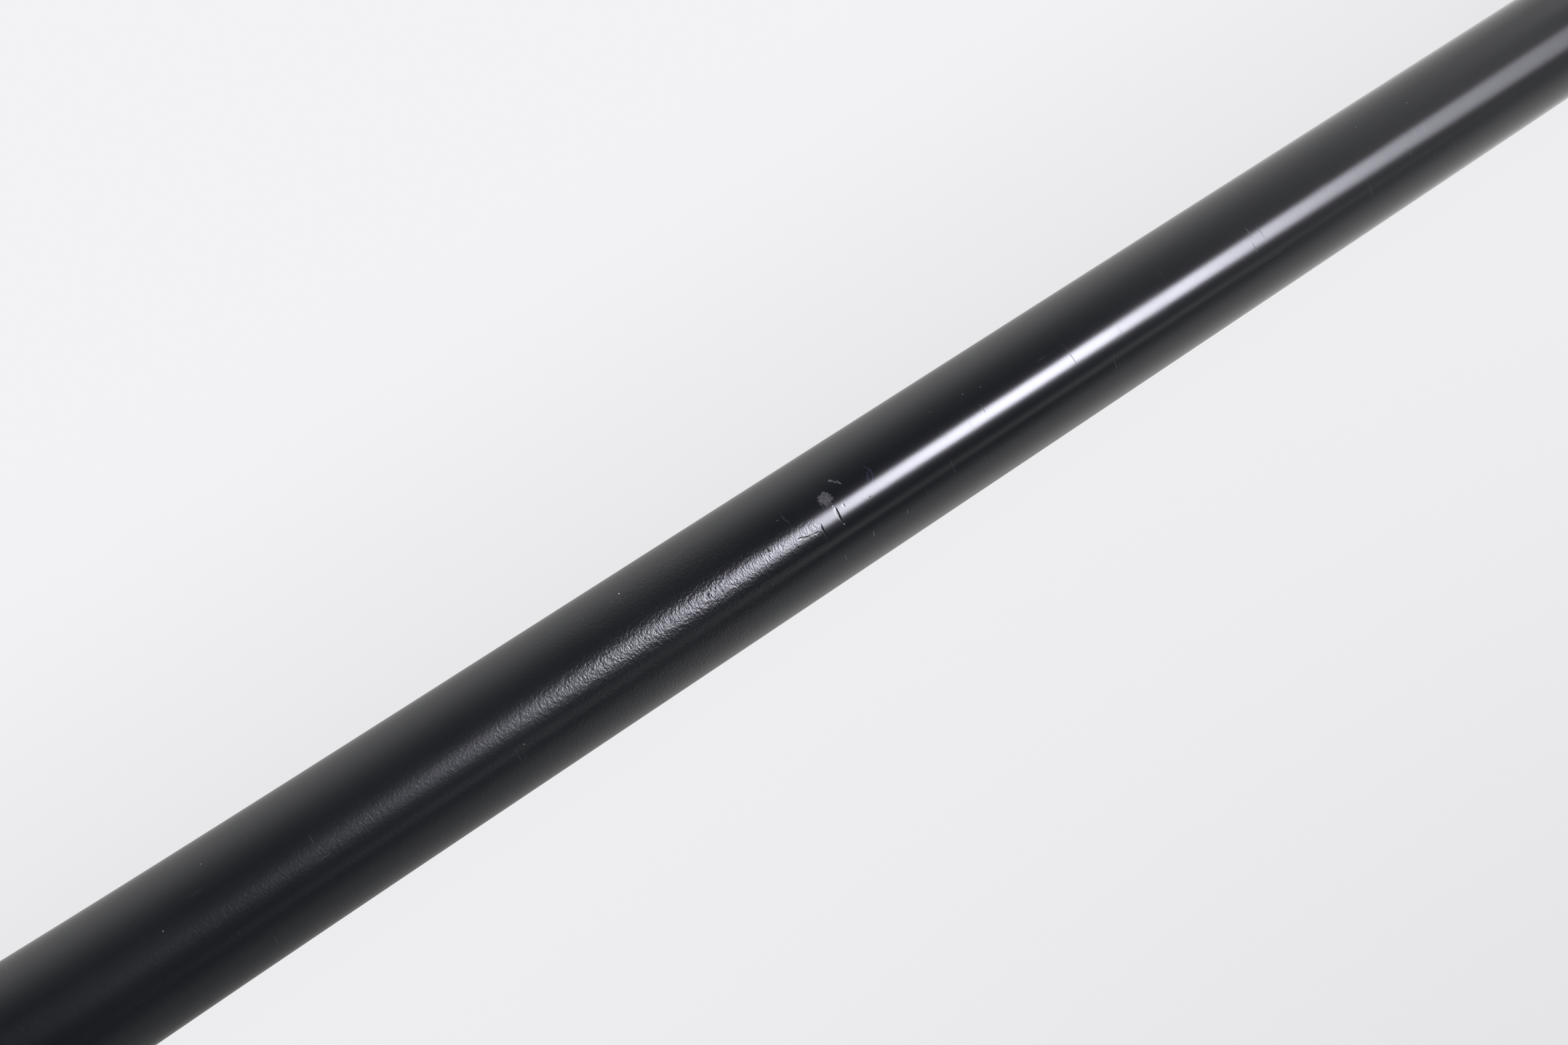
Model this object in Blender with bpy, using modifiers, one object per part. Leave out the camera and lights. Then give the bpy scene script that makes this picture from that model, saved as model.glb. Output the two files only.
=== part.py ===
"""A long, slender alloy baseball bat (fungo proportions), modelled as its separate pieces.

Every piece is turned about the bat's axis. A station is a distance along that axis from the
knob's end face, and each outline is a list of (radius, station) points. Station grows from
the knob towards the barrel, and an outline runs down its outer side, from high to low station.
"""
import math

import bpy

MM = 0.001

# Overall sizes.
BAT_LENGTH = 939.8 * MM          # 37 inches, knob face to cap face
HANDLE_RADIUS = 11.1 * MM        # 7/8 inch handle tube
BARREL_RADIUS = 28.6 * MM        # 2 1/4 inch barrel
KNOB_RADIUS = 24.0 * MM
GAP = 0.3 * MM                   # clearance between pieces that touch
SEGMENTS = 40                    # facets round each turned piece

# Alloy shell: handle, taper and barrel in one drawn tube.
SHELL_START = 2.7 * MM
SHELL_END = 926.4 * MM
TAPER_START = 450.0 * MM
TAPER_END = 800.0 * MM
TAPER_STEPS = 20
TAPER_POWER = 3.0                # how late the handle starts to swell
HANDLE_WALL = 2.4 * MM
BARREL_WALL = 2.3 * MM
BARREL_RIM_CHAMFER = 0.5 * MM
HANDLE_STATIONS = 6

# Knob: a turned ring welded over the handle's end.
KNOB_LENGTH = 20.0 * MM
KNOB_NECK_RADIUS = 12.6 * MM
KNOB_RIM_LOW = 3.0 * MM          # station where the rim's straight band starts
KNOB_RIM_HIGH = 7.0 * MM         # and where it ends
KNOB_LOWER_ROUND = 3.0 * MM
KNOB_UPPER_ROUND = 2.5 * MM
KNOB_SWEEP_ANGLE = 65.0          # degrees of upper rounding before the neck's hollow sweep
PLUG_RECESS_RADIUS = 14.6 * MM
PLUG_RECESS_DEPTH = 2.4 * MM
WELD_LENGTH = 3.3 * MM
WELD_THICKNESS = 1.35 * MM
WELD_EDGE = 0.3 * MM

# Knob plug, pressed into the tube's open end.
PLUG_FACE_INSET = 0.3 * MM
PLUG_FLANGE_THICKNESS = 1.8 * MM
PLUG_STEM_LENGTH = 14.0 * MM
PLUG_STEM_CHAMFER = 1.0 * MM

# Grip: base tape, wound wrap and finishing tape.
BASE_TAPE_START = 24.2 * MM
BASE_TAPE_END = 236.0 * MM
BASE_TAPE_THICKNESS = 0.4 * MM
GRIP_START = 18.5 * MM
GRIP_END = 238.3 * MM
GRIP_THICKNESS = 1.6 * MM
GRIP_NECK_EXTRA = 1.2 * MM       # second turn of wrap over the knob's neck
GRIP_NECK_END = 42.0 * MM
GRIP_NECK_FADE = 56.0 * MM
GRIP_NECK_BORE_END = 23.9 * MM
FINISH_TAPE_START = 231.0 * MM
FINISH_TAPE_END = 250.0 * MM
FINISH_TAPE_THICKNESS = 0.4 * MM

# Pieces inside the tube.
DAMPER_START = 30.0 * MM
DAMPER_END = 200.0 * MM
THROAT_PLUG_START = 640.0 * MM
THROAT_PLUG_END = 668.0 * MM
FOAM_CHAMFER = 1.5 * MM

# End cap and the adhesive that holds its skirt in the barrel.
CAP_RADIUS = 28.4 * MM
CAP_EDGE_ROUND = 5.2 * MM
CAP_DISH_RADIUS = 15.5 * MM
CAP_DISH_SLOPE = 2.0 * MM
CAP_DISH_DEPTH = 1.8 * MM
CAP_UNDERSIDE_CHAMFER = 0.3 * MM
CAP_SKIRT_RADIUS = 24.6 * MM
CAP_SKIRT_WALL = 2.2 * MM
CAP_SKIRT_START = 903.5 * MM
CAP_RIB_START = 905.0 * MM
CAP_RIB_END = 907.2 * MM
CAP_POCKET_END = 934.0 * MM
ADHESIVE_START = 908.0 * MM
ADHESIVE_END = 926.0 * MM
ADHESIVE_CHAMFER = 0.3 * MM

PARTS_COLLECTION = "baseball_bat"

# name: (colour, roughness, metallic)
MATERIALS = {
    "black_coat": ((0.013, 0.014, 0.016), 0.30, 0.0),
    "weld_alloy": ((0.62, 0.62, 0.63), 0.40, 1.0),
    "black_polymer": ((0.020, 0.020, 0.021), 0.55, 0.0),
    "grip_leather": ((0.022, 0.022, 0.024), 0.62, 0.0),
    "base_tape": ((0.62, 0.58, 0.48), 0.80, 0.0),
    "vinyl_tape": ((0.015, 0.015, 0.017), 0.38, 0.0),
    "grey_foam": ((0.16, 0.16, 0.17), 0.90, 0.0),
    "amber_adhesive": ((0.46, 0.27, 0.08), 0.30, 0.0),
}


def clear_scene():
    for old in list(bpy.data.objects):
        bpy.data.objects.remove(old, do_unlink=True)


def smoothstep(value):
    value = min(max(value, 0.0), 1.0)
    return value * value * (3.0 - 2.0 * value)


def taper_share(station):
    """How far the tube has swollen from handle to barrel: 0 at the handle, 1 at the barrel."""
    along = (station - TAPER_START) / (TAPER_END - TAPER_START)
    along = min(max(along, 0.0), 1.0)
    return smoothstep(along ** TAPER_POWER)


def shell_radius(station):
    return HANDLE_RADIUS + (BARREL_RADIUS - HANDLE_RADIUS) * taper_share(station)


def bore_radius(station):
    wall = HANDLE_WALL + (BARREL_WALL - HANDLE_WALL) * taper_share(station)
    return shell_radius(station) - wall


def spread(start, end, steps):
    """Evenly spaced values from start to end, both included."""
    return [start + (end - start) * i / steps for i in range(steps + 1)]


def arc(centre_radius, centre_station, radius, start_angle, end_angle, steps):
    """Points on a circle in the outline's plane; 0 degrees points outwards, 90 to the barrel."""
    points = []
    for angle in spread(math.radians(start_angle), math.radians(end_angle), steps):
        across = centre_radius + radius * math.cos(angle)
        along = centre_station + radius * math.sin(angle)
        points.append((across, along))
    return points


def hollow_sweep(first, corner, last, steps):
    """A quadratic curve from first to last that leaves and arrives towards corner."""
    points = []
    for t in spread(0.0, 1.0, steps):
        weights = ((1 - t) ** 2, 2 * t * (1 - t), t ** 2)
        across = sum(w * p[0] for w, p in zip(weights, (first, corner, last)))
        along = sum(w * p[1] for w, p in zip(weights, (first, corner, last)))
        points.append((across, along))
    return points


def shell_stations():
    """Stations of the shell's rings, from the knob's end to the barrel's end."""
    handle = spread(SHELL_START, TAPER_START, HANDLE_STATIONS)
    taper = spread(TAPER_START, TAPER_END, TAPER_STEPS)
    barrel = spread(TAPER_END, SHELL_END, 2)
    return handle + taper[1:] + barrel[1:]


def shell_outline():
    stations = shell_stations()
    bore = [(bore_radius(s), s) for s in stations]
    rim = [(BARREL_RADIUS - BARREL_RIM_CHAMFER, SHELL_END),
           (BARREL_RADIUS, SHELL_END - BARREL_RIM_CHAMFER)]
    outside = [(shell_radius(s), s) for s in reversed(stations[:-1])]
    return rim + outside + bore


def knob_outline():
    upper = arc(KNOB_RADIUS - KNOB_UPPER_ROUND, KNOB_RIM_HIGH, KNOB_UPPER_ROUND, KNOB_SWEEP_ANGLE, 0, 4)
    lower = arc(KNOB_RADIUS - KNOB_LOWER_ROUND, KNOB_RIM_LOW, KNOB_LOWER_ROUND, 0, -90, 5)
    sweep_start = upper[0]
    # The hollow sweep leaves the rim along the rounding's tangent and ends along the neck.
    tangent = math.radians(KNOB_SWEEP_ANGLE)
    reach = (sweep_start[0] - KNOB_NECK_RADIUS) / math.sin(tangent)
    corner = (KNOB_NECK_RADIUS, sweep_start[1] + reach * math.cos(tangent))
    neck = hollow_sweep((KNOB_NECK_RADIUS, KNOB_LENGTH), corner, sweep_start, 6)
    bore = HANDLE_RADIUS + GAP
    recess = [(PLUG_RECESS_RADIUS, 0.0), (PLUG_RECESS_RADIUS, PLUG_RECESS_DEPTH), (bore, PLUG_RECESS_DEPTH)]
    return neck + upper[1:] + lower + recess + [(bore, KNOB_LENGTH)]


def weld_outline():
    inner = HANDLE_RADIUS + GAP
    start = KNOB_LENGTH + GAP
    end = start + WELD_LENGTH
    return [
        (inner + WELD_EDGE, end),
        (inner + 0.66 * WELD_THICKNESS, end - 0.36 * WELD_LENGTH),
        (inner + WELD_THICKNESS, start + 0.2 * WELD_LENGTH),
        (inner + 0.9 * WELD_THICKNESS, start),
        (inner, start),
        (inner, end),
    ]


def knob_plug_outline():
    flange = PLUG_RECESS_RADIUS - GAP
    stem = bore_radius(SHELL_START) - GAP
    flange_top = PLUG_FACE_INSET + PLUG_FLANGE_THICKNESS
    stem_top = flange_top + PLUG_STEM_LENGTH
    return [
        (0.0, stem_top),
        (stem - PLUG_STEM_CHAMFER, stem_top),
        (stem, stem_top - PLUG_STEM_CHAMFER),
        (stem, flange_top),
        (flange, flange_top),
        (flange, PLUG_FACE_INSET),
        (0.0, PLUG_FACE_INSET),
    ]


def sleeve_outline(inner, outer, start, end):
    return [(outer, end), (outer, start), (inner, start), (inner, end)]


def base_tape_outline():
    inner = HANDLE_RADIUS + GAP
    return sleeve_outline(inner, inner + BASE_TAPE_THICKNESS, BASE_TAPE_START, BASE_TAPE_END)


def grip_bore():
    return HANDLE_RADIUS + GAP + BASE_TAPE_THICKNESS + GAP


def grip_radius():
    return grip_bore() + GRIP_THICKNESS


def grip_outline():
    neck_bore = HANDLE_RADIUS + GAP + WELD_THICKNESS + GAP
    return [
        (grip_radius(), GRIP_END),
        (grip_radius(), GRIP_NECK_FADE),
        (grip_radius() + GRIP_NECK_EXTRA, GRIP_NECK_END),
        (grip_radius() + GRIP_NECK_EXTRA, GRIP_START),
        (neck_bore, GRIP_START),
        (neck_bore, GRIP_NECK_BORE_END),
        (grip_bore(), GRIP_NECK_BORE_END),
        (grip_bore(), GRIP_END),
    ]


def finish_tape_outline():
    over_grip = grip_radius() + GAP
    on_handle = HANDLE_RADIUS + GAP
    step = GRIP_END + GAP
    return [
        (on_handle + FINISH_TAPE_THICKNESS, FINISH_TAPE_END),
        (on_handle + 1.6 * FINISH_TAPE_THICKNESS, step + 4.5 * MM),
        (over_grip + FINISH_TAPE_THICKNESS, step),
        (over_grip + FINISH_TAPE_THICKNESS, FINISH_TAPE_START),
        (over_grip, FINISH_TAPE_START),
        (over_grip, step),
        (on_handle, step),
        (on_handle, FINISH_TAPE_END),
    ]


def foam_outline(start, end):
    """A solid foam piece that fills the tube's bore between two stations."""
    low = bore_radius(start) - GAP
    high = bore_radius(end) - GAP
    return [
        (0.0, end),
        (high - FOAM_CHAMFER, end),
        (bore_radius(end - FOAM_CHAMFER) - GAP, end - FOAM_CHAMFER),
        (bore_radius(start + FOAM_CHAMFER) - GAP, start + FOAM_CHAMFER),
        (low - FOAM_CHAMFER, start),
        (0.0, start),
    ]


def end_cap_outline():
    dish = BAT_LENGTH - CAP_DISH_DEPTH
    underside = SHELL_END + GAP
    rib = BARREL_RADIUS - BARREL_WALL - GAP
    skirt_inner = CAP_SKIRT_RADIUS - CAP_SKIRT_WALL
    edge = arc(CAP_RADIUS - CAP_EDGE_ROUND, BAT_LENGTH - CAP_EDGE_ROUND, CAP_EDGE_ROUND, 90, 0, 5)
    face = [(0.0, dish), (CAP_DISH_RADIUS - CAP_DISH_SLOPE, dish), (CAP_DISH_RADIUS, BAT_LENGTH)]
    flange = [(CAP_RADIUS, underside + CAP_UNDERSIDE_CHAMFER), (CAP_RADIUS - CAP_UNDERSIDE_CHAMFER, underside)]
    skirt = [
        (CAP_SKIRT_RADIUS, underside),
        (CAP_SKIRT_RADIUS, CAP_RIB_END),
        (rib, CAP_RIB_END),
        (rib, CAP_RIB_START),
        (CAP_SKIRT_RADIUS, CAP_SKIRT_START),
        (skirt_inner, CAP_SKIRT_START),
    ]
    pocket = [(skirt_inner, CAP_POCKET_END), (0.0, CAP_POCKET_END)]
    return face + edge + flange + skirt + pocket


def adhesive_outline():
    inner = CAP_SKIRT_RADIUS + GAP
    outer = BARREL_RADIUS - BARREL_WALL - GAP
    return [
        (outer - ADHESIVE_CHAMFER, ADHESIVE_END),
        (outer, ADHESIVE_END - ADHESIVE_CHAMFER),
        (outer, ADHESIVE_START),
        (inner, ADHESIVE_START),
        (inner, ADHESIVE_END),
    ]


def rest_lean():
    """Angle of the bat's axis when it lies on a flat surface, on its knob and its barrel."""
    facet = math.cos(math.pi / SEGMENTS)
    rim = 0.5 * (KNOB_RIM_LOW + KNOB_RIM_HIGH)
    slopes = [facet * (shell_radius(s) - KNOB_RADIUS) / (s - rim) for s in shell_stations()]
    return math.atan(max(slopes[1:]))


def make_axis_empty(collection):
    """The bat's axis: local +Z runs from the knob to the barrel, along world -X."""
    lean = rest_lean()
    facet = math.cos(math.pi / SEGMENTS)
    rim = 0.5 * (KNOB_RIM_LOW + KNOB_RIM_HIGH)
    height = facet * KNOB_RADIUS * math.cos(lean) - rim * math.sin(lean)
    axis = bpy.data.objects.new("bat_axis", None)
    axis.empty_display_type = "SINGLE_ARROW"
    axis.empty_display_size = 0.1
    axis.location = (0.5 * BAT_LENGTH * math.cos(lean), 0.0, height)
    axis.rotation_euler = (0.0, lean - 0.5 * math.pi, 0.0)
    collection.objects.link(axis)
    return axis


def make_materials():
    made = {}
    for name, (colour, roughness, metallic) in MATERIALS.items():
        material = bpy.data.materials.new(name)
        material.use_nodes = True
        shader = material.node_tree.nodes["Principled BSDF"]
        shader.inputs["Base Color"].default_value = (*colour, 1.0)
        shader.inputs["Roughness"].default_value = roughness
        shader.inputs["Metallic"].default_value = metallic
        made[name] = material
    return made


def make_turned(name, outline, material, axis, collection):
    """Turn an outline about the bat's axis. An outline that starts off the axis is a closed ring."""
    is_ring = outline[0][0] > 0.0
    count = len(outline)
    edges = [(i, i + 1) for i in range(count - 1)]
    if is_ring:
        edges.append((count - 1, 0))
    mesh = bpy.data.meshes.new(name)
    mesh.from_pydata([(radius, 0.0, station) for radius, station in outline], edges, [])
    mesh.materials.append(material)
    piece = bpy.data.objects.new(name, mesh)
    collection.objects.link(piece)
    piece.parent = axis
    # Half a facet's turn puts a flat under the bat, as well as on top of it.
    piece.rotation_euler = (0.0, 0.0, math.pi / SEGMENTS)
    screw = piece.modifiers.new("turn", "SCREW")
    screw.axis = "Z"
    screw.steps = SEGMENTS
    screw.render_steps = SEGMENTS
    screw.use_merge_vertices = True
    screw.merge_threshold = 0.00001
    screw.use_smooth_shade = True
    return piece


def main():
    clear_scene()
    collection = bpy.data.collections.new(PARTS_COLLECTION)
    bpy.context.scene.collection.children.link(collection)
    materials = make_materials()
    axis = make_axis_empty(collection)
    pieces = [
        ("bat_shell", shell_outline(), "black_coat"),
        ("knob", knob_outline(), "black_coat"),
        ("knob_weld", weld_outline(), "weld_alloy"),
        ("knob_plug", knob_plug_outline(), "black_polymer"),
        ("grip_base_tape", base_tape_outline(), "base_tape"),
        ("grip_wrap", grip_outline(), "grip_leather"),
        ("grip_finish_tape", finish_tape_outline(), "vinyl_tape"),
        ("handle_damper", foam_outline(DAMPER_START, DAMPER_END), "grey_foam"),
        ("throat_plug", foam_outline(THROAT_PLUG_START, THROAT_PLUG_END), "grey_foam"),
        ("end_cap", end_cap_outline(), "black_polymer"),
        ("cap_adhesive", adhesive_outline(), "amber_adhesive"),
    ]
    for name, outline, material in pieces:
        make_turned(name, outline, materials[material], axis, collection)


main()
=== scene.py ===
import math

import bpy
from mathutils import Matrix, Vector, noise


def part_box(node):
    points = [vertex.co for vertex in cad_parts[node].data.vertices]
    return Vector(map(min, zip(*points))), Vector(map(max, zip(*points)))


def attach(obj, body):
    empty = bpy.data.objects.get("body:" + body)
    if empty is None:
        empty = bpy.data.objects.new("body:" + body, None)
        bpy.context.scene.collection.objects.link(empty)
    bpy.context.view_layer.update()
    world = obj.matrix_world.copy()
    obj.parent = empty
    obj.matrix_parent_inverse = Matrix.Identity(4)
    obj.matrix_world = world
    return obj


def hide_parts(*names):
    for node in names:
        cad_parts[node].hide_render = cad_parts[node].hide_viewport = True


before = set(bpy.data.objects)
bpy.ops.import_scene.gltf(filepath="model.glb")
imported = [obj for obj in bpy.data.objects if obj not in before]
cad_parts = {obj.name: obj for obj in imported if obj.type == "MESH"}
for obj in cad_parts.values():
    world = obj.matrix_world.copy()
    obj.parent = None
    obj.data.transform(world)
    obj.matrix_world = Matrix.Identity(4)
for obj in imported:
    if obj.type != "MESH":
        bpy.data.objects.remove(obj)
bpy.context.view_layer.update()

MM = 0.001
BODY = "root"

# ----------------------------------------
# The bat's own frame. A station is a distance along the bat's axis from the
# knob's end face. An angle is measured round the axis from the top, growing
# towards -Y, the side that the camera looks at.
# ----------------------------------------
FACETS = 40                              # facets round each CAD solid
INSIDE = math.cos(math.pi / FACETS)      # a smooth surface at this share stays inside them
DAMPER_MIDDLE = 115.0 * MM               # station of the middle of handle_damper

HANDLE_RADIUS = 11.1 * MM
BARREL_RADIUS = 28.6 * MM
SHELL_START = 2.7 * MM
SHELL_END = 926.4 * MM
TAPER_START = 450.0 * MM
TAPER_END = 800.0 * MM
TAPER_POWER = 3.0
WALL = 2.3 * MM


def centre(node):
    low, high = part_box(node)
    return (low + high) / 2


AXIS = (centre("cap_adhesive") - centre("handle_damper")).normalized()
ORIGIN = centre("handle_damper") - AXIS * DAMPER_MIDDLE
ACROSS = Vector((0.0, 1.0, 0.0))
TOP = ACROSS.cross(AXIS).normalized()
BAT_FRAME = Matrix((
    (TOP.x, ACROSS.x, AXIS.x, ORIGIN.x),
    (TOP.y, ACROSS.y, AXIS.y, ORIGIN.y),
    (TOP.z, ACROSS.z, AXIS.z, ORIGIN.z),
    (0.0, 0.0, 0.0, 1.0),
))


def spread(start, end, steps):
    """Evenly spaced values from start to end, both included."""
    return [start + (end - start) * i / steps for i in range(steps + 1)]


def smoothstep(low, high, value):
    t = min(max((value - low) / (high - low), 0.0), 1.0)
    return t * t * (3.0 - 2.0 * t)


def taper_share(station):
    along = min(max((station - TAPER_START) / (TAPER_END - TAPER_START), 0.0), 1.0)
    return smoothstep(0.0, 1.0, along ** TAPER_POWER)


def shell_radius(station):
    return INSIDE * (HANDLE_RADIUS + (BARREL_RADIUS - HANDLE_RADIUS) * taper_share(station))


# ----------------------------------------
# Camera: a 50 mm lens close to the bare handle, looking down on it.
# ----------------------------------------
CAMERA_AZIMUTH = math.radians(-38.0)
CAMERA_ELEVATION = math.radians(56.7)
CAMERA_DISTANCE = 365.6 * MM
CAMERA_STATION = 474.0 * MM      # station at the middle of the picture
CAMERA_ABOVE = 3.5 * MM          # how far the aim is above the bat's axis, up the picture
LENS = 50.0
SENSOR = 36.0


def make_camera():
    sin_a, cos_a = math.sin(CAMERA_AZIMUTH), math.cos(CAMERA_AZIMUTH)
    sin_e, cos_e = math.sin(CAMERA_ELEVATION), math.cos(CAMERA_ELEVATION)
    back = Vector((sin_a * cos_e, -cos_a * cos_e, sin_e))
    right = Vector((cos_a, sin_a, 0.0))
    up = back.cross(right)
    aim = ORIGIN + AXIS * CAMERA_STATION + up * CAMERA_ABOVE
    data = bpy.data.cameras.new("camera")
    data.lens = LENS
    data.sensor_width = SENSOR
    data.clip_start = 0.01
    data.clip_end = 100.0
    camera = bpy.data.objects.new("camera", data)
    camera.matrix_world = Matrix.Translation(aim + back * CAMERA_DISTANCE) @ Matrix((
        (right.x, up.x, back.x),
        (right.y, up.y, back.y),
        (right.z, up.z, back.z),
    )).to_4x4()
    bpy.context.scene.collection.objects.link(camera)
    bpy.context.scene.camera = camera


# ----------------------------------------
# Node helpers
# ----------------------------------------
class Nodes:
    """A node tree with short ways to add the nodes that these materials use."""

    def __init__(self, tree):
        self.tree = tree
        self.tree.nodes.clear()

    def add(self, kind, **settings):
        node = self.tree.nodes.new(kind)
        for name, value in settings.items():
            setattr(node, name, value)
        return node

    def link(self, source, target):
        self.tree.links.new(source, target)

    def put(self, target, value):
        """Feed a socket with another socket or with a constant."""
        if isinstance(value, bpy.types.NodeSocket):
            self.link(value, target)
        elif isinstance(value, (tuple, list)) and len(value) == 3 and target.type == "RGBA":
            target.default_value = (*value, 1.0)
        else:
            target.default_value = value

    def math(self, operation, *values, clamp=False):
        node = self.add("ShaderNodeMath", operation=operation, use_clamp=clamp)
        for socket, value in zip(node.inputs, values):
            self.put(socket, value)
        return node.outputs[0]

    def vector(self, operation, *values):
        node = self.add("ShaderNodeVectorMath", operation=operation)
        for socket, value in zip(node.inputs, values):
            self.put(socket, value)
        is_number = operation in ("DOT_PRODUCT", "LENGTH", "DISTANCE")
        return node.outputs["Value"] if is_number else node.outputs[0]

    def ease(self, value, low, high, out_low=0.0, out_high=1.0):
        """Smooth rise of value from low to high, mapped to out_low..out_high."""
        node = self.add("ShaderNodeMapRange", interpolation_type="SMOOTHSTEP")
        for name, entry in (("Value", value), ("From Min", low), ("From Max", high),
                            ("To Min", out_low), ("To Max", out_high)):
            self.put(node.inputs[name], entry)
        return node.outputs["Result"]

    def hill(self, value, middle, width):
        """A bell curve of height 1 round middle; width is its standard deviation."""
        offset = self.math("DIVIDE", self.math("SUBTRACT", value, middle), width)
        square = self.math("MULTIPLY", offset, offset)
        return self.math("EXPONENT", self.math("MULTIPLY", square, -0.5))

    def plateau(self, value, middle, width, power):
        """A flat-topped bell of height 1 round middle, with steeper sides for a higher power."""
        offset = self.math("DIVIDE", self.math("SUBTRACT", value, middle), width)
        offset = self.math("ABSOLUTE", offset)
        return self.math("EXPONENT", self.math("MULTIPLY", self.math("POWER", offset, power), -1.0))

    def ramp(self, value, stops):
        """A grey ramp; stops are (position, level)."""
        node = self.add("ShaderNodeValToRGB")
        elements = node.color_ramp.elements
        while len(elements) < len(stops):
            elements.new(0.5)
        for element, (position, _) in zip(elements, stops):
            element.position = position
        for element, (_, level) in zip(elements, stops):
            element.color = (level, level, level, 1.0)
        self.put(node.inputs["Fac"], value)
        return node.outputs["Color"]

    def mix(self, share, first, second):
        """Blend two numbers."""
        node = self.add("ShaderNodeMix", data_type="FLOAT")
        for index, value in ((0, share), (2, first), (3, second)):
            self.put(node.inputs[index], value)
        return node.outputs[0]

    def tint(self, share, first, second):
        """Blend two colours."""
        node = self.add("ShaderNodeMix", data_type="RGBA")
        for index, value in ((0, share), (6, first), (7, second)):
            self.put(node.inputs[index], value)
        return node.outputs[2]

    def blend(self, share, first, second):
        """Blend two directions."""
        node = self.add("ShaderNodeMix", data_type="VECTOR")
        for index, value in ((0, share), (4, first), (5, second)):
            self.put(node.inputs[index], value)
        return node.outputs[1]

    def noise(self, place, scale, detail=3.0, roughness=0.55):
        node = self.add("ShaderNodeTexNoise")
        self.put(node.inputs["Vector"], place)
        node.inputs["Scale"].default_value = scale
        node.inputs["Detail"].default_value = detail
        node.inputs["Roughness"].default_value = roughness
        return node.outputs["Fac"]

    def cells(self, place, scale, randomness=1.0):
        """Distance to the nearest cell's middle, and that cell's own random number."""
        node = self.add("ShaderNodeTexVoronoi")
        self.put(node.inputs["Vector"], place)
        node.inputs["Scale"].default_value = scale
        node.inputs["Randomness"].default_value = randomness
        split = self.add("ShaderNodeSeparateColor")
        self.link(node.outputs["Color"], split.inputs[0])
        return node.outputs["Distance"], split.outputs[0]

    def specks(self, place, scale, size, rare):
        """Scattered spots: size is their radius in cells, rare the share of cells left empty."""
        distance, pick = self.cells(place, scale)
        spot = self.ease(distance, size, size * 0.6)
        return self.math("MULTIPLY", spot, self.math("GREATER_THAN", pick, rare))

    def split(self, place):
        node = self.add("ShaderNodeSeparateXYZ")
        self.link(place, node.inputs[0])
        return node.outputs

    def join(self, x, y, z=0.0):
        node = self.add("ShaderNodeCombineXYZ")
        for socket, value in zip(node.inputs, (x, y, z)):
            self.put(socket, value)
        return node.outputs[0]

    def stroke(self, place, start, end, half_width):
        """1 along a straight line between two points, falling to 0 at half_width from it."""
        along = (end[0] - start[0], end[1] - start[1], 0.0)
        square = along[0] ** 2 + along[1] ** 2
        offset = self.vector("SUBTRACT", place, (*start, 0.0))
        share = self.vector("DOT_PRODUCT", offset, tuple(v / square for v in along))
        share = self.math("ADD", share, 0.0, clamp=True)
        node = self.add("ShaderNodeVectorMath", operation="SCALE")
        node.inputs[0].default_value = along
        self.link(share, node.inputs["Scale"])
        distance = self.vector("DISTANCE", offset, node.outputs[0])
        return self.ease(distance, half_width, half_width * 0.35)

    def dot(self, place, middle, radius):
        distance = self.vector("DISTANCE", place, (*middle, 0.0))
        return self.ease(distance, radius, radius * 0.4)

    def highest(self, masks):
        result = masks[0]
        for mask in masks[1:]:
            result = self.math("MAXIMUM", result, mask)
        return result

    def stretch(self, place, factors):
        return self.vector("MULTIPLY", place, factors)

    def bump(self, height, distance, normal=None):
        node = self.add("ShaderNodeBump")
        node.inputs["Strength"].default_value = 1.0
        node.inputs["Distance"].default_value = distance
        self.put(node.inputs["Height"], height)
        if normal is not None:
            self.link(normal, node.inputs["Normal"])
        return node.outputs["Normal"]


# ----------------------------------------
# Studio: a white sweep, a dark room overhead, one softbox
# ----------------------------------------
TURN = 2.0 * math.pi
DEGREE = math.pi / 180.0
# The floor glows; painted shade lowers that glow under and in front of the bat, and close behind it.
SWEEP_MIDDLE = 0.862                 # level of the floor under the bat and in front of it, kept a little below the level behind as painted shade
SWEEP_BACK = 0.888                   # and well behind it
FLOOR_PAINTED_POOL = 0.110                   # how much a long soft painted shade in front of the bat takes away from the floor's glow
POOL_MIDDLE = (0.0, -0.20, 0.0)
POOL_RADIUS = 0.21                   # its half width; its length is this over POOL_SHRINK's first
POOL_SHRINK = (0.40, 1.0, 1.0)
FLOOR_PAINTED_SHADOW = 0.050                  # how much darker the floor is painted close behind the bat: a painted shadow of the bat
SWEEP_DIFFUSE = 0.05                 # share of the floor's level that is reflected light
FLOOR_HALF = 12.0
SWEEP_TINT = (0.985, 0.985, 1.0)
KEY_TINT = (0.960, 0.962, 1.090)
KEY_ANGLE = 31.8 * DEGREE            # round the bat's axis, from the zenith towards the front
KEY_LEAN = 27.3 * DEGREE             # from the plane square to the bat, towards its knob
KEY_HALF_WIDTH = 9.0 * DEGREE
KEY_LENGTH = 7.5 * DEGREE
KEY_SPILL = 9.0 * DEGREE
KEY_SKEW = 0.29                      # the softbox bends towards the front beyond KEY_BEND
KEY_BEND = 25.0 * DEGREE
KEY_FLARE = 3.7                      # and widens there
KEY_LEVEL = 27.8

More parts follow.
